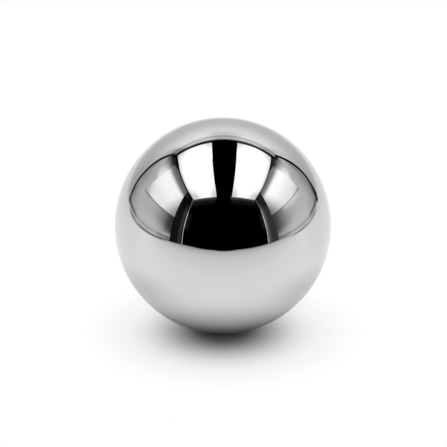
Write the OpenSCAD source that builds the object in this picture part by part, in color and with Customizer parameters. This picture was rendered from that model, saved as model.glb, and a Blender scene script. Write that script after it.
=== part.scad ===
// Steel ball
// One solid ball of hardened steel, ground and lapped until it is a true sphere.
// Sizes are in millimetres. The origin is the centre of the ball, and +Z is up.

/* [Ball] */
// Diameter of the ball
ball_d = 25.4; // [1:0.1:150]

/* [Preview] */
// Flats drawn round the ball in a preview; the solid itself is a true sphere
preview_flats = 128; // [32:8:256]

/* [Hidden] */

// The ball is forged from a single slug, so it is solid through,
// with no seam, flat, pole or hole anywhere on its surface.
module steel_ball() {
    color("silver")
        sphere(d = ball_d, $fn = preview_flats);
}

steel_ball();
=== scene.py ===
"""Polished steel ball on white paper, inside a table-top light box.

The ball is one piece, made by Geometry Nodes as a sphere of even quads. Its steel mirrors
whatever stands round it, so the stage is a whole light box: two lit panels overhead with a
dark slot between them, silver side walls with a bright window in each, a white paper sweep
below and behind, and an open, dark front.
"""

import math
import random
from typing import NamedTuple

import bpy
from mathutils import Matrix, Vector


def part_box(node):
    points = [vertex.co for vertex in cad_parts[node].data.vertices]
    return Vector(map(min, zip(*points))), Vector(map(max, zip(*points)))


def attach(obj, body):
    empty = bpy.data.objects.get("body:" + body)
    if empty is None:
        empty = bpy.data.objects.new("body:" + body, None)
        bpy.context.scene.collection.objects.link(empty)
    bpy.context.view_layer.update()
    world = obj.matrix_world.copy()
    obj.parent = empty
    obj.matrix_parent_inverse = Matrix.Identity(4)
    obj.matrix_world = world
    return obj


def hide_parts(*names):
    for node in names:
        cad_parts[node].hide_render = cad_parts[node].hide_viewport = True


bl_info = {
    "name": "Polished Steel Ball",
    "version": (1, 0, 0),
    "blender": (4, 5, 0),
    "location": "3D Viewport > Sidebar > Steel Ball",
    "description": "A mirror-polished steel ball and the light box that it stands in",
    "category": "Object",
}

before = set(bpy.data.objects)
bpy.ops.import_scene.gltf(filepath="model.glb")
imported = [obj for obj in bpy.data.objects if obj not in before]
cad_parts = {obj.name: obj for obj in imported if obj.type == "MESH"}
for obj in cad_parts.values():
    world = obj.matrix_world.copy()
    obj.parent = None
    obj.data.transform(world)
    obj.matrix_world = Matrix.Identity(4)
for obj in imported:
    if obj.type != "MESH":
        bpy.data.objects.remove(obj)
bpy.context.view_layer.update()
BALL_NODE = "steel_ball"
BALL_BODY = "root"
BALL_LOW, BALL_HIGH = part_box(BALL_NODE)
BALL_CENTRE = (BALL_LOW + BALL_HIGH) / 2
BALL_DIAMETER = BALL_HIGH.z - BALL_LOW.z
FLOOR = BALL_LOW.z - BALL_CENTRE.z  # height of the paper, from the ball's centre
MM = 0.001  # a millimetre in metres


# ---------------------------------------------------------------- node building


class Wire:
    """An output of a node. Python arithmetic on it adds Math nodes."""

    def __init__(self, graph, node, output=0):
        self.graph = graph
        self.node = node
        self.socket = node.outputs[output] if node.outputs else None

    def __getitem__(self, output):
        """Another output of the same node, by its name."""
        return Wire(self.graph, self.node, output)

    def _maths(self, operation, *values):
        """A Math node on these values."""
        return self.graph.node("ShaderNodeMath", {"operation": operation}, dict(enumerate(values)))

    def __add__(self, other):
        return self._maths("ADD", self, other)

    __radd__ = __add__

    def __sub__(self, other):
        return self._maths("SUBTRACT", self, other)

    def __rsub__(self, other):
        return self._maths("SUBTRACT", other, self)

    def __mul__(self, other):
        return self._maths("MULTIPLY", self, other)

    __rmul__ = __mul__

    def __truediv__(self, other):
        return self._maths("DIVIDE", self, other)

    def __neg__(self):
        return self._maths("SUBTRACT", 0, self)

    def __abs__(self):
        return self._maths("ABSOLUTE", self)

    def highest(self, other):
        """The higher of this and another value."""
        return self._maths("MAXIMUM", self, other)


class Graph:
    """Adds nodes to a node tree and joins them."""

    def __init__(self, tree):
        self.tree = tree

    def node(self, kind, settings=None, inputs=None):
        """Adds one node: its settings first, then each input's value or link."""
        made = self.tree.nodes.new(kind)
        for name, value in (settings or {}).items():
            setattr(made, name, value)
        for key, value in (inputs or {}).items():
            if isinstance(value, Wire):
                self.tree.links.new(value.socket, made.inputs[key])
            else:
                made.inputs[key].default_value = value
        return Wire(self, made)

    def vector_maths(self, operation, **inputs):
        """A Vector Math node. Its inputs are vector, second and scale."""
        keys = {"vector": 0, "second": 1, "scale": "Scale"}
        values = {keys[name]: value for name, value in inputs.items()}
        return self.node("ShaderNodeVectorMath", {"operation": operation}, values)

    def noise(self, place, scale, detail):
        """Soft random clouds between 0 and 1."""
        inputs = {"Vector": place, "Scale": scale, "Detail": detail}
        return self.node("ShaderNodeTexNoise", None, inputs)

    def ramp(self, value, start, end, shape="LINEAR"):
        """0 up to start and 1 from end, in a straight line between."""
        inputs = {"Value": value, "From Min": start, "From Max": end}
        return self.node("ShaderNodeMapRange", {"interpolation_type": shape}, inputs)

    def rise(self, value, start, end):
        """0 up to start and 1 from end, with a smooth rise between."""
        return self.ramp(value, start, end, "SMOOTHSTEP")

    def fall(self, value, start, end):
        """1 up to start and 0 from end, with a smooth fall between."""
        return 1 - self.rise(value, start, end)

    def edge(self, value, place, softness):
        """0 before a place and 1 past it, over a soft edge that is centred there."""
        return self.rise(value, place - softness / 2, place + softness / 2)

    def band(self, value, low, high, softness):
        """1 between two places and 0 outside them, with soft edges."""
        return self.edge(value, low, softness) * (1 - self.edge(value, high, softness))

    def line(self, value, place, reach):
        """1 at a place, falling to 0 at this reach on both sides of it."""
        return self.fall(abs(value - place), 0, reach)

    def blend(self, share, first, second):
        """The first number where share is 0, and the second where it is 1."""
        return self.node("ShaderNodeMix", {"data_type": "FLOAT"}, {0: share, 2: first, 3: second})


def new_material(name):
    """An empty node material, and the graph to fill it with."""
    material = bpy.data.materials.new(name)
    material.use_nodes = True
    material.node_tree.nodes.clear()
    return material, Graph(material.node_tree)


def finish_material(graph, shader):
    """Ends a material in its shader."""
    graph.node("ShaderNodeOutputMaterial", None, {"Surface": shader})


# ---------------------------------------------------------------- settings


def length(name, description, default):
    """A property that holds a length or a distance."""
    return bpy.props.FloatProperty(
        name=name,
        description=description,
        default=default,
        subtype="DISTANCE",
        unit="LENGTH",
        precision=4,
    )


def brightness(name, description, default):
    """A property that holds a brightness, where 1 shows as white."""
    return bpy.props.FloatProperty(name=name, description=description, default=default, min=0)


def share(name, description, default, least=0):
    """A property that holds a share, which is 1 at most."""
    return bpy.props.FloatProperty(
        name=name,
        description=description,
        default=default,
        min=least,
        max=1,
        subtype="FACTOR",
    )


def angle(name, description, degrees):
    """A property that holds an angle."""
    return bpy.props.FloatProperty(
        name=name,
        description=description,
        default=math.radians(degrees),
        subtype="ANGLE",
    )


class SteelBallSettings(bpy.types.PropertyGroup):
    """Size and finish of the ball."""

    diameter: length("Diameter", "Diameter of the ball", BALL_DIAMETER)
    divisions: bpy.props.IntProperty(
        name="Divisions",
        description="Quads along each quarter of the ball's girth",
        default=96,
        min=8,
        max=128,
    )
    steel: bpy.props.FloatVectorProperty(
        name="Steel",
        description="Colour of the polished steel",
        default=(0.68, 0.68, 0.685),
        subtype="COLOR",
        min=0,
        max=1,
    )
    polish: share("Polish", "Roughness of the cleanest polish", 0.012)
    haze: share("Haze", "Roughness that patches of haze add", 0.02)
    wipes: share("Wipe marks", "Roughness that wipe marks add", 0.012)
    grain: share("Grain", "Roughness that fine grain adds", 0.008)
    arcs: share("Lapping arcs", "Roughness that the fine arcs of lapping add", 0.02)


class LightBoxSettings(bpy.types.PropertyGroup):
    """Sizes and light of the light box round the ball, and the camera's place."""

    left: length("Left wall", "Distance from the ball's centre to the left wall", 286 * MM)
    right: length("Right wall", "Distance from the ball's centre to the right wall", 310 * MM)
    front: length("Front", "Distance from the ball's centre to the open front", 287 * MM)
    back: length("Back", "Distance from the ball's centre to the back wall", 223 * MM)
    top: length("Ceiling", "Height of the ceiling over the ball's centre", 364 * MM)
    panel_light: brightness("Panel light", "Brightness of the lit panels overhead", 2.4)
    paper_light: brightness("Paper light", "Brightness of the lit paper in a mirror", 1.01)
    elevation: angle("Camera elevation", "How far the camera looks down", 22)
    turn: angle("Camera turn", "How far left of the light box's axis the camera stands", 0.64)
    distance: length("Camera distance", "Distance from the camera to the ball's centre", 280 * MM)
    aim_up: length("Aim up", "How far above the ball's centre the camera aims", 0.23 * MM)
    aim_right: length("Aim right", "How far right of the ball's centre the camera aims", 0.08 * MM)
    fill: share("Fill", "Share of the frame's width that the ball takes up", 0.484, least=0.01)


# ---------------------------------------------------------------- the ball

LAPPING_ARCS = 16
LAPPING_SEED = 7
DULLEST = 0.97  # share of the steel's colour that is left where haze and wipe marks are strongest


def quad_sphere_tree():
    """Geometry Nodes for a sphere of near-square quads, with no poles.

    A cube's grid is spread by the tangent of equal angles, so that the quads come out
    alike, and each of its points is then moved out to the radius.
    """
    tree = bpy.data.node_groups.new("quad_sphere", "GeometryNodeTree")
    for name, in_out, kind in (
        ("Diameter", "INPUT", "NodeSocketFloat"),
        ("Divisions", "INPUT", "NodeSocketInt"),
        ("Centre", "INPUT", "NodeSocketVector"),
        ("Finish", "INPUT", "NodeSocketMaterial"),
        ("Geometry", "OUTPUT", "NodeSocketGeometry"),
    ):
        tree.interface.new_socket(name, in_out=in_out, socket_type=kind)
    graph = Graph(tree)
    given = graph.node("NodeGroupInput")
    corners = given["Divisions"] + 1
    cube_inputs = {"Vertices X": corners, "Vertices Y": corners, "Vertices Z": corners}
    cube = graph.node("GeometryNodeMeshCube", None, {"Size": (1, 1, 1), **cube_inputs})
    place = graph.node("GeometryNodeInputPosition")
    angles = graph.vector_maths("SCALE", vector=place, scale=math.pi / 2)
    spread = graph.vector_maths("TANGENT", vector=angles)
    outward = graph.vector_maths("NORMALIZE", vector=spread)
    on_ball = graph.vector_maths("SCALE", vector=outward, scale=given["Diameter"] / 2)
    placed = graph.vector_maths("ADD", vector=on_ball, second=given["Centre"])
    ball = graph.node("GeometryNodeSetPosition", None, {"Geometry": cube, "Position": placed})
    smooth = graph.node("GeometryNodeSetShadeSmooth", None, {"Geometry": ball})
    real = graph.node("GeometryNodeRealizeInstances", None, {"Geometry": smooth})
    finish = {"Geometry": real, "Material": given["Finish"]}
    graph.node("NodeGroupOutput", None, {0: graph.node("GeometryNodeSetMaterial", None, finish)})
    return tree


def built_mesh(name, tree, values):
    """The plain mesh that a geometry tree gives for these input values."""
    carrier = bpy.data.objects.new(name, bpy.data.meshes.new(name + "_seed"))
    bpy.context.scene.collection.objects.link(carrier)
    modifier = carrier.modifiers.new(name, "NODES")
    modifier.node_group = tree
    for item in tree.interface.items_tree:
        if item.in_out == "INPUT" and item.name in values:
            modifier[item.identifier] = values[item.name]
    evaluated = carrier.evaluated_get(bpy.context.evaluated_depsgraph_get())
    mesh = bpy.data.meshes.new_from_object(evaluated)
    mesh.name = name
    carrier.modifiers.remove(modifier)
    bpy.data.objects.remove(carrier)
    return mesh


def lapping_arcs(graph, outward):
    """Fine arcs that lapping leaves: slices of the ball, shown in short stretches."""
    chance = random.Random(LAPPING_SEED)
    marks = None
    for _ in range(LAPPING_ARCS):
        axis = Vector([chance.gauss(0, 1) for _ in range(3)]).normalized()
        offset = chance.uniform(-0.85, 0.85)
        reach = chance.uniform(0.004, 0.009)
        along = graph.vector_maths("DOT_PRODUCT", vector=outward, second=axis)["Value"]
        arc = graph.line(along, offset, reach) * chance.uniform(0.4, 1)
        marks = arc if marks is None else marks.highest(arc)
    stretches = graph.rise(graph.noise(outward, 2.3, 1), 0.5, 0.62)
    return marks * stretches


def polished_steel(settings):
    """Mirror-polished steel, with faint haze, wipe marks and the fine arcs of lapping."""
    material, graph = new_material("polished_steel")
    place = graph.node("ShaderNodeTexCoord")["Object"]
    from_centre = graph.vector_maths("SUBTRACT", vector=place, second=BALL_CENTRE)
    outward = graph.vector_maths("SCALE", vector=from_centre, scale=2 / settings.diameter)
    haze = graph.rise(graph.noise(outward, 1.7, 3), 0.4, 0.75)
    wiping = {"Vector": outward, "Rotation": (0.5, 0.9, 0.3), "Scale": (1.2, 9, 2.5)}
    wiped = graph.node("ShaderNodeMapping", None, wiping)
    wipes = graph.rise(graph.noise(wiped, 1.6, 4), 0.5, 0.75)
    grain = graph.noise(outward, 60, 2)
    arcs = lapping_arcs(graph, outward)
    roughness = settings.polish + settings.haze * haze + settings.wipes * wipes
    roughness = roughness + settings.grain * grain + settings.arcs * arcs
    dulled = [DULLEST * part for part in settings.steel]
    colour = graph.node(
        "ShaderNodeMix",
        {"data_type": "RGBA"},
        {0: 0.5 * haze + 0.5 * wipes, 6: (*settings.steel, 1), 7: (*dulled, 1)},
    )
    inputs = {"Base Color": colour["Result"], "Metallic": 1.0, "Roughness": roughness}
    finish_material(graph, graph.node("ShaderNodeBsdfPrincipled", None, inputs))
    return material


class OBJECT_OT_polished_ball(bpy.types.Operator):
    """Make the polished steel ball"""

    bl_idname = "object.polished_ball"
    bl_label = "Polished Ball"
    bl_options = {"REGISTER", "UNDO"}

    def execute(self, context):
        settings = context.scene.steel_ball
        values = {
            "Diameter": settings.diameter,
            "Divisions": settings.divisions,
            "Centre": BALL_CENTRE,
            "Finish": polished_steel(settings),
        }
        mesh = built_mesh("polished_ball", quad_sphere_tree(), values)
        if not mesh.polygons:
            raise RuntimeError("the geometry nodes gave no ball")
        ball = bpy.data.objects.new("polished_ball", mesh)
        context.scene.collection.objects.link(ball)
        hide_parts(BALL_NODE)
        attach(ball, BALL_BODY)
        return {"FINISHED"}


# ---------------------------------------------------------------- the light box's surfaces
#
# Places on them are in millimetres from the ball's centre: side to the right, depth towards
# the back and height upwards. A brightness of 1 is white. The walls, the front, the posts and
# the floor as a mirror sees it glow, and the light and shade across them are painted into that
# glow: shaded corners, creases, seams and gaps, and bright patches.

# The paper is white: this grey shows only where the paper's real shadow is kept, and deepens that
# shadow as painted shade.
SHADOW_DEEPENING_GREY = (0.62, 0.62, 0.62, 1)

# Edges of the two lit panels of the ceiling, and of the dark slot between them.
PANELS_LEFT = -275.5
SLOT_LEFT = -53.2
SLOT_RIGHT = 73
PANELS_RIGHT = 302
PANELS_FRONT = -286.5
PANELS_BACK = 212.5

# The least that the paper sweep reaches to either side at the back wall.
SWEEP_LEFT = 240
SWEEP_RIGHT = 251


class SideWall(NamedTuple):
    """What sets one silver side wall apart from the other."""

    # The dark strip by the open front.
    strip_end: float  # depth at which it ends, at mid height
    strip_foot: float  # how much further back it ends near the floor
    strip_light: float  # its brightness
    strip_rim: float  # how much brighter its front rim is

    # The window.
    window_light: float  # its brightness
    window_drop: float  # share of that brightness lost at its foot
    window_full: float  # height from which it has its full brightness
    window_end: float  # depth at which it ends
    window_top: float  # height at which it ends
    window_droop: float  # how much lower it ends towards the back
    sill_front: float  # height of its lower edge where the strip ends
    sill_slope: float  # rise of that edge for each millimetre of depth
    corner_shade: float  # share of light lost in its front corner
    corner_end: float  # depth at which that shade ends

    # The silver round the window.
    silver: float  # its brightness under the window
    front_shade: float  # share of that brightness lost beside the strip
    lift_top: float  # height below which that shade draws back
    dark_corner: float  # share of light lost close to the strip, clear of the foot
    back_corner: float  # share of light lost low in the back corner
    painted_sill_light: float  # painted light added just under the window
    glare: float  # brightness added behind the window
    header: float  # painted light added over the window

    # The foot of the wall.
    foot_light: float  # brightness added along it, close to the strip
    foot_line: float  # height of the dark line along it
    heel: float  # share of light lost at the very bottom
    sweep_light: float  # brightness of the paper that curls up there at the back


LEFT_WALL = SideWall(
    strip_end=-187,
    strip_foot=-2,
    strip_light=0.009,
    strip_rim=0.06,
    window_light=1.33,
    window_drop=0.12,
    window_full=215,
    window_end=99,
    window_top=294,
    window_droop=1,
    sill_front=130,
    sill_slope=-0.078,
    corner_shade=0.67,
    corner_end=-70,
    silver=0.6,
    front_shade=0.88,
    lift_top=70,
    dark_corner=0.36,
    back_corner=0.7,
    painted_sill_light=0,
    glare=0.42,
    header=0.2,
    foot_light=0.2,
    foot_line=4.5,
    heel=0.5,
    sweep_light=0.8,
)
RIGHT_WALL = SideWall(
    strip_end=-203,
    strip_foot=13,
    strip_light=0.045,
    strip_rim=0.18,
    window_light=1.45,
    window_drop=0.21,
    window_full=260,
    window_end=107,
    window_top=306.5,
    window_droop=8,
    sill_front=149,
    sill_slope=-0.07,
    corner_shade=0.8,
    corner_end=-50,
    silver=0.64,
    front_shade=0.9,
    lift_top=55,
    dark_corner=0,
    back_corner=0.1,
    painted_sill_light=0.28,
    glare=0.55,
    header=0.28,
    foot_light=0.06,
    foot_line=2.5,
    heel=0.1,
    sweep_light=0.6,
)


def places_in_mm(graph):
    """X, Y and Z of the shaded point from the ball's centre."""
    place = graph.node("ShaderNodeTexCoord")["Object"]
    from_ball = graph.vector_maths("SUBTRACT", vector=place, second=BALL_CENTRE)
    scaled = graph.vector_maths("SCALE", vector=from_ball, scale=1 / MM)
    parts = graph.node("ShaderNodeSeparateXYZ", None, {"Vector": scaled})
    return parts["X"], parts["Y"], parts["Z"]


def glow(graph, level):
    """Ends a material in a glow of this brightness."""
    finish_material(graph, graph.node("ShaderNodeEmission", None, {"Color": level}))


def behind_window(graph, depth):
    """0 along a side wall's window and 1 behind it."""
    return graph.rise(depth, 60, 110)


def low_silver(graph, wall, depth, height):
    """Brightness of a side wall's silver, under its window and behind it."""
    lift = 80 * (1 - height / wall.lift_top).highest(0)
    front_shade = wall.front_shade * graph.fall(depth + lift, wall.strip_end, 0)
    behind = behind_window(graph, depth)
    near_foot = (0.1 - 0.2 * behind) * graph.fall(height, 25, 80)
    level = wall.silver * (1 + near_foot) * (1 - front_shade)
    # painted light and shade along the very bottom of the wall: darker at the very front and
    # behind the window, a little lighter between
    bottom_edge_shift = 0.1 * graph.fall(depth, -40, 20) - 0.5 * graph.fall(depth, -130, -60) - 0.15 * behind
    level = level * (1 + bottom_edge_shift * graph.fall(height, -6, 0))
    back_shade = 0.4 * graph.rise(depth, 100, 230) * graph.fall(height, 100, 230)
    back_corner = wall.back_corner * graph.rise(depth, 180, 225) * graph.fall(height, 30, 80)
    level = level * (1 - back_shade) * (1 - back_corner)
    by_strip = graph.fall(depth, -155, -115)
    level = level * (1 - wall.dark_corner * by_strip * graph.rise(height, 25, 42))
    return level + wall.foot_light * by_strip * graph.line(height, 16, 14)


def silver_light(graph, wall, depth, height, above_sill):
    """Brightness of a side wall's silver, all round its window."""
    low = low_silver(graph, wall, depth, height)
    # painted light just under the window, and painted glare behind it
    painted_sill_light = graph.rise(above_sill, -40, -8) * graph.band(depth, -90, 75, 50)
    sloped = height - 0.3 * (depth - 110).highest(0)
    glare = graph.band(sloped, 190, wall.window_top - 2, 40) * graph.fall(depth, 112, 200)
    low = (low + wall.painted_sill_light * painted_sill_light + wall.glare * glare) * graph.fall(height, 240, 340)
    # painted light over the window, dimmer towards the back
    header = graph.rise(height, 275, 315) * graph.fall(height, 335, 400)
    lit = graph.fall(depth + 2.6 * (height - 338).highest(0), 98, 146)
    return low + wall.header * header * (0.12 + 0.88 * lit)


def lit_window(graph, wall, depth, height, above_sill):
    """Where a side wall's window is, and its brightness there."""
    end = wall.window_end + 0.08 * (height - 200)
    top = wall.window_top - 0.03 * depth - wall.window_droop * graph.rise(depth, -40, 70)
    across = 1 - graph.edge(depth - end, 0, 26)
    up = graph.edge(above_sill, 0, 3) * (1 - graph.edge(height - top, 0, 50))
    light = wall.window_light * (1 - wall.window_drop * graph.fall(height, 150, wall.window_full))
    from_corner = depth + 0.45 * (height - 150)
    front_corner = wall.corner_shade * graph.fall(from_corner, wall.strip_end, wall.corner_end)
    back_corner = 0.5 * graph.rise(depth, 0, 130) * graph.fall(height, 112, 175)
    return across * up, light * (1 - front_corner) * (1 - back_corner)


def seam_shade(graph, wall, depth, height, above_sill):
    """Share of light left by the crease under the window and by the seam at the floor."""
    crease = graph.line(above_sill, -4, 5) * graph.band(depth, wall.strip_end, 105, 20)
    soft_crease = graph.line(above_sill, -8, 10) * graph.band(depth, 35, 105, 40)
    behind = behind_window(graph, depth)
    foot = graph.line(height - 3 * behind, wall.foot_line, 11)
    foot = foot * (0.3 + 0.4 * behind + 0.22 * graph.fall(depth, -105, -75))
    heel = wall.heel * graph.fall(height, -11, -7)
    return (1 - 0.45 * crease) * (1 - 0.2 * soft_crease) * (1 - foot) * (1 - heel)


def side_wall_material(name, wall):
    """Silver wall with a bright window and a dark strip by the open front."""
    material, graph = new_material(name)
    _, depth, height = places_in_mm(graph)
    above_sill = height - (wall.sill_front + wall.sill_slope * (depth - wall.strip_end))
    silver = silver_light(graph, wall, depth, height, above_sill)
    inside, window = lit_window(graph, wall, depth, height, above_sill)
    level = graph.blend(inside, silver, window)
    level = level * seam_shade(graph, wall, depth, height, above_sill)
    sweep = graph.fall(height, -10, 0) * graph.rise(depth, 135, 180)
    level = graph.blend(sweep, level, wall.sweep_light)
    rim = wall.strip_rim * graph.fall(depth, -295, -245) * graph.fall(height, 230, 320)
    lean = 0.05 * (height - 150).highest(0) + wall.strip_foot * graph.fall(height, 10, 120)
    strip = 1 - graph.edge(depth - lean, wall.strip_end, 3)
    dark = wall.strip_light * (1 - 0.5 * graph.rise(height, 215, 255))
    dark = dark.highest(0.028 * graph.rise(height, 290, 350) * graph.ramp(depth, -260, -190))
    glow(graph, graph.blend(strip, level, dark + rim))
    return material


def lit_panel(graph, inner, outer):
    """Brightness across a ceiling panel, from the distances inside its two side edges."""
    inside = graph.edge(inner, 0, 3) * graph.edge(outer, 0, 3)
    inner_fade = 0.65 + 0.35 * graph.rise(inner, 10, 65)
    outer_fade = 0.4 + 0.22 * graph.ramp(outer, 0, 25) + 0.38 * graph.rise(outer, 35, 100)
    return inside * inner_fade * outer_fade


def ceiling_material(panel_light):
    """Dark ceiling with two lit panels, dimmer towards their edges."""
    material, graph = new_material("ceiling")
    side, depth, _ = places_in_mm(graph)
    front_taper = graph.fall(depth, -290, -100)
    left_end = PANELS_LEFT + 9 * front_taper + 6 * graph.rise(depth, 20, 140)
    right_end = PANELS_RIGHT - 12 * front_taper
    slot_left = SLOT_LEFT - 2.6 * graph.band(depth, -175, 40, 60)
    slot_right = SLOT_RIGHT - 3 * front_taper + 3 * graph.rise(depth, 80, 200)
    panels = lit_panel(graph, slot_left - side, side - left_end)
    panels = panels + lit_panel(graph, side - slot_right, right_end - side)
    from_front = depth - PANELS_FRONT + 6 * graph.rise(side, 150, 250)
    from_back = PANELS_BACK + 10 * graph.rise(abs(side), 90, 260) - (depth - 0.012 * side)
    front_fade = 0.6 + 0.4 * graph.rise(from_front, 20, 150)
    back_fade = 0.62 + 0.15 * graph.ramp(from_back, 5, 30) + 0.23 * graph.rise(from_back, 25, 100)
    ends = graph.edge(from_front, 0, 4) * graph.edge(from_back, 0, 18)
    glow(graph, panel_light * panels * ends * front_fade * back_fade)
    return material


def back_paper(graph, side, height, off_middle):
    """Brightness of the paper sweep on the back wall, with painted shade at its sides, its top and
    under the ceiling's dark slot, and a faint painted bright line near its top.
    """
    level = 0.58 + 0.25 * graph.fall(height, -14, 14) + 0.44 * graph.rise(height, 50, 240)
    level = level + 0.06 * graph.fall(off_middle, 40, 170)
    drop = graph.rise(height + 0.025 * side, 243, 265)
    level = level * (1 - 0.25 * drop - 0.16 * graph.line(height, 270, 14))
    under_slot = 0.25 * graph.rise(height, 160, 230) + 0.16 * graph.line(height, 263, 15)
    level = level * (1 - under_slot * graph.fall(off_middle, 20, 75))
    outer = 0.09 + 0.29 * graph.rise(height, 130, 290)
    outer = outer * graph.blend(graph.edge(side, 0, 20), 1.6, 1)
    level = level * (1 - outer * graph.rise(abs(side - 5), 153, 205))
    return level + 0.08 * graph.line(height, 303, 15)


def past_sweep(graph, side, height):
    """How far a point of the back wall lies past the nearer side edge of the paper sweep."""
    left_end = SWEEP_LEFT + 21 * graph.fall(height, 40, 200) + 38 * graph.fall(height, -20, 65)
    left_end = left_end + 44 * graph.rise(height, 278, 345)
    right_end = SWEEP_RIGHT + 14 * graph.fall(height, 0, 100) + 4 * graph.rise(height, 150, 200)
    right_end = right_end + 50 * graph.rise(height, 250, 330)
    return (-side - left_end).highest(side - right_end)


def back_wall_material():
    """White paper sweep between two gaps dark with painted shade, and silver beyond them."""
    material, graph = new_material("back_wall")
    side, _, height = places_in_mm(graph)
    off_middle = abs(side - 10)
    paper = back_paper(graph, side, height, off_middle)
    silver = 0.05 + 0.28 * graph.rise(height, 10, 90) + 0.27 * graph.rise(height, 170, 230)
    silver = silver * (1 - 0.8 * graph.rise(height, 250, 300))
    past_edge = past_sweep(graph, side, height)
    level = graph.blend(graph.edge(past_edge, 0, 4), paper, silver)
    # painted shade in the gaps beside the paper sweep
    gap = graph.fall(abs(past_edge), 10, 19) * (1 - 0.12 * graph.rise(height, 255, 295))
    gap = gap * graph.rise(height, -10, 4)
    # painted shade towards the ceiling
    fall_start = 0.15 * (off_middle - 170).highest(0) + 0.03 * (side - 30).highest(0)
    top = graph.fall(height + fall_start, 303, 344)
    glow(graph, level * (1 - gap) * top)
    return material


def front_material():
    """Open front: the dark room outside, with a little of the panels' light at its top."""
    material, graph = new_material("dark_front")
    side, _, height = places_in_mm(graph)
    under_panels = graph.band(abs(side), 60, 280, 30)
    spill = 0.12 * graph.rise(height, 322, 375) + 0.018 * graph.rise(height, 250, 350)
    beside_posts = graph.rise(abs(side - 20), 222, 262) * graph.band(height, 85, 205, 40)
    glow(graph, under_panels * spill + 0.014 * beside_posts)
    return material


def post_material(name, strength):
    """Pale edge of a side wall beside the open front, with painted light: brighter at mid height
    and dimmer at the top.
    """
    material, graph = new_material(name)
    _, _, height = places_in_mm(graph)
    middle = graph.band(height, 105, 215, 40)
    glow(graph, strength * (0.65 + 0.35 * middle) * (1 - 0.6 * graph.rise(height, 220, 265)))
    return material


def beside_walls(graph, side, depth):
    """Share of light that is left on the mirrored paper close to the side walls."""
    start = 35 * graph.rise(depth, 40, 150)
    along = graph.band(depth, -130, 135, 50) + 0.35 * graph.fall(depth, -200, -155)
    left = graph.rise(-side - start, 175, 275) * along
    left = left * (0.64 + 0.36 * graph.fall(depth, 5, 65))
    right = graph.rise(side, 188, 286) * graph.band(depth, -72, 145, 50)
    right_dark = 0.75 + 0.25 * graph.fall(depth, 20, 80) + 0.2 * graph.line(depth, -15, 35)
    return (1 - left) * (1 - 0.8 * right * right_dark)


def mirrored_paper(graph, side, depth, paper_light):
    """Brightness of the white paper in a mirror, with painted shade at the front and beside the
    walls.
    """
    ahead = -depth
    level = paper_light * (1 - 0.09 * graph.rise(ahead, 5, 40))
    level = level * (1 - 0.56 * graph.ramp(ahead, 30, 205))
    level = level * (1 - 0.06 * graph.rise(depth, -8, 10))
    level = level * (1 - 0.11 * graph.rise(depth, 15, 120))
    front_end = 222 + 65 * graph.rise(-side, 60, 200) - 35 * graph.fall(abs(side - 5), 10, 50)
    level = level * graph.fall(ahead - front_end, -25, 12)
    return level * beside_walls(graph, side, depth)


def whitened(graph, side, depth, in_mirror):
    """Share by which the paper is whitened: none under the ball, and all of it further out.

    The ball's shadow is the real one where this share is 0, and its outline is painted by
    the share: the painted shadow lies a little towards the dark front. In a mirror it is
    centred, and reaches further out at the sides and behind.
    """
    radius = BALL_DIAMETER / 2 / MM
    centre = graph.blend(in_mirror, 0.15 * radius, 0)
    place = graph.node("ShaderNodeCombineXYZ", None, {"X": side, "Y": depth + centre})
    reach = graph.vector_maths("LENGTH", vector=place)["Value"]
    far = reach / radius
    direct = graph.rise(far, 0.19, 0.93) * (0.82 + 0.18 * graph.rise(far, 0.75, 1.35))
    before = graph.rise(far, 0.4, 1.19) * (0.84 + 0.16 * graph.rise(far, 0.85, 1.6))
    beside = graph.rise(far, 0.4, 1.02) * (0.53 + 0.47 * graph.rise(far, 1, 2.15))
    mirrored = graph.blend(graph.rise(depth / reach, -1, -0.2), before, beside)
    return graph.blend(in_mirror, direct, mirrored)


def floor_material(paper_light):
    """White paper that keeps the ball's real shadow, deepened with painted grey, and is white away
    from it.
    """
    material, graph = new_material("white_paper")
    side, depth, _ = places_in_mm(graph)
    ray = graph.node("ShaderNodeLightPath")
    in_mirror = ray["Is Glossy Ray"]
    seen = ray["Is Camera Ray"].highest(in_mirror).highest(ray["Is Transmission Ray"])
    whiteness = whitened(graph, side, depth, in_mirror) * seen
    level = graph.blend(in_mirror, 1.0, mirrored_paper(graph, side, depth, paper_light))
    paper = graph.node("ShaderNodeBsdfDiffuse", None, {"Color": SHADOW_DEEPENING_GREY})
    white = graph.node("ShaderNodeEmission", None, {"Color": level})
    inputs = {0: whiteness, 1: paper, 2: white}
    finish_material(graph, graph.node("ShaderNodeMixShader", None, inputs))
    material.cycles.emission_sampling = "NONE"
    return material


# ---------------------------------------------------------------- the stage

POST_WIDTH = 6 * MM
POST_SETBACK = 1 * MM  # from the open front
LEFT_POST_INSET = 21 * MM  # from the left wall to its post's middle
RIGHT_POST_INSET = 6.5 * MM  # from the right wall to its post's middle
PAPER_REACH = 4.0  # metres from the ball to each side of the paper


def sheet(name, corners, material):
    """A flat four-cornered sheet of the stage."""
    mesh = bpy.data.meshes.new(name)
    mesh.from_pydata([BALL_CENTRE + Vector(corner) for corner in corners], [], [(0, 1, 2, 3)])
    mesh.materials.append(material)
    made = bpy.data.objects.new(name, mesh)
    bpy.context.scene.collection.objects.link(made)
    return made


def upright(name, start, end, low, high, material):
    """A sheet that stands on the line from start to end, both (x, y)."""
    corners = [(*start, low), (*end, low), (*end, high), (*start, high)]
    return sheet(name, corners, material)


def level_sheet(name, low, high, height, material):
    """A level sheet from its low corner to its high corner, both (x, y)."""
    left, front = low
    right, back = high
    corners = [(left, front), (right, front), (right, back), (left, back)]
    return sheet(name, [(*corner, height) for corner in corners], material)


def post(name, middle, strength, box):
    """The pale edge of a side wall, just inside the open front."""
    depth = POST_SETBACK - box.front
    start = (middle - POST_WIDTH / 2, depth)
    end = (middle + POST_WIDTH / 2, depth)
    return upright(name, start, end, FLOOR, box.top, post_material(name, strength))


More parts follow.
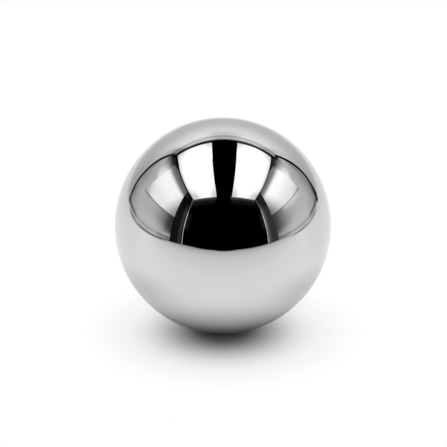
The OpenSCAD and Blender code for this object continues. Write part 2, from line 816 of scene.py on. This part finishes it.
def light_box(box):
    """Walls, ceiling and front of the light box, open to cameras and to shadow rays."""
    left_front = (-box.left, -box.front)
    right_front = (box.right, -box.front)
    left_back = (-box.left, box.back)
    right_back = (box.right, box.back)
    left_wall = side_wall_material("left_wall", LEFT_WALL)
    right_wall = side_wall_material("right_wall", RIGHT_WALL)
    walls = [
        upright("left_wall", left_front, left_back, FLOOR, box.top, left_wall),
        upright("right_wall", right_front, right_back, FLOOR, box.top, right_wall),
        upright("back_wall", left_back, right_back, FLOOR, box.top, back_wall_material()),
        upright("front", left_front, right_front, FLOOR, box.top, front_material()),
        level_sheet("ceiling", left_front, right_back, box.top, ceiling_material(box.panel_light)),
        post("left_post", LEFT_POST_INSET - box.left, 0.95, box),
        post("right_post", box.right - RIGHT_POST_INSET, 1.2, box),
    ]
    for wall in walls:
        wall.visible_camera = False
        wall.visible_shadow = False


def paper_floor(box):
    """The white paper that the ball stands on, far past the light box for any camera."""
    low = (-PAPER_REACH, -PAPER_REACH)
    high = (PAPER_REACH, PAPER_REACH)
    level_sheet("floor", low, high, FLOOR, floor_material(box.paper_light))


def white_world(scene):
    """White surroundings."""
    scene.world = bpy.data.worlds.new("studio")
    scene.world.use_nodes = True
    tree = scene.world.node_tree
    tree.nodes.clear()
    graph = Graph(tree)
    white = graph.node("ShaderNodeBackground", None, {"Color": (1, 1, 1, 1)})
    graph.node("ShaderNodeOutputWorld", None, {"Surface": white})


def add_camera(scene, box, ball_diameter):
    """The camera at the open front, looking down at the ball."""
    data = bpy.data.cameras.new("camera")
    camera = bpy.data.objects.new("camera", data)
    scene.collection.objects.link(camera)
    level = math.cos(box.elevation)
    outward = Vector(
        (-math.sin(box.turn) * level, -math.cos(box.turn) * level, math.sin(box.elevation))
    )
    facing = (-outward).to_track_quat("-Z", "Y")
    aim = facing @ Vector((box.aim_right, box.aim_up, 0))
    camera.location = BALL_CENTRE + outward * box.distance + aim
    camera.rotation_euler = facing.to_euler()
    half_view = math.tan(math.asin(ball_diameter / 2 / box.distance)) / box.fill
    data.lens = data.sensor_width / 2 / half_view
    scene.camera = camera


class SCENE_OT_light_box(bpy.types.Operator):
    """Build the light box, its floor, the surroundings and the camera"""

    bl_idname = "scene.light_box"
    bl_label = "Light Box and Camera"
    bl_options = {"REGISTER", "UNDO"}

    def execute(self, context):
        scene = context.scene
        box = scene.light_box
        light_box(box)
        paper_floor(box)
        white_world(scene)
        add_camera(scene, box, scene.steel_ball.diameter)
        scene.view_settings.view_transform = "Standard"
        return {"FINISHED"}


# ---------------------------------------------------------------- the add-on

STEPS = (
    ("steel_ball", SteelBallSettings, "object.polished_ball"),
    ("light_box", LightBoxSettings, "scene.light_box"),
)


class VIEW3D_PT_steel_ball(bpy.types.Panel):
    """Sidebar panel of the steel ball"""

    bl_label = "Steel Ball"
    bl_space_type = "VIEW_3D"
    bl_region_type = "UI"
    bl_category = "Steel Ball"

    def draw(self, context):
        for name, group, operator in STEPS:
            box = self.layout.box()
            for setting in group.__annotations__:
                box.prop(getattr(context.scene, name), setting)
            box.operator(operator)


CLASSES = (
    SteelBallSettings,
    LightBoxSettings,
    OBJECT_OT_polished_ball,
    SCENE_OT_light_box,
    VIEW3D_PT_steel_ball,
)


def register():
    """Adds the classes to Blender, and the settings to its scenes."""
    for each in CLASSES:
        bpy.utils.register_class(each)
    for name, group, _ in STEPS:
        setattr(bpy.types.Scene, name, bpy.props.PointerProperty(type=group))


def unregister():
    """Takes the settings and the classes away again."""
    for name, _, _ in STEPS:
        delattr(bpy.types.Scene, name)
    for each in reversed(CLASSES):
        bpy.utils.unregister_class(each)


def main():
    """Makes the ball and its stage."""
    register()
    bpy.ops.object.polished_ball()
    bpy.ops.scene.light_box()


if __name__ == "__main__":
    main()
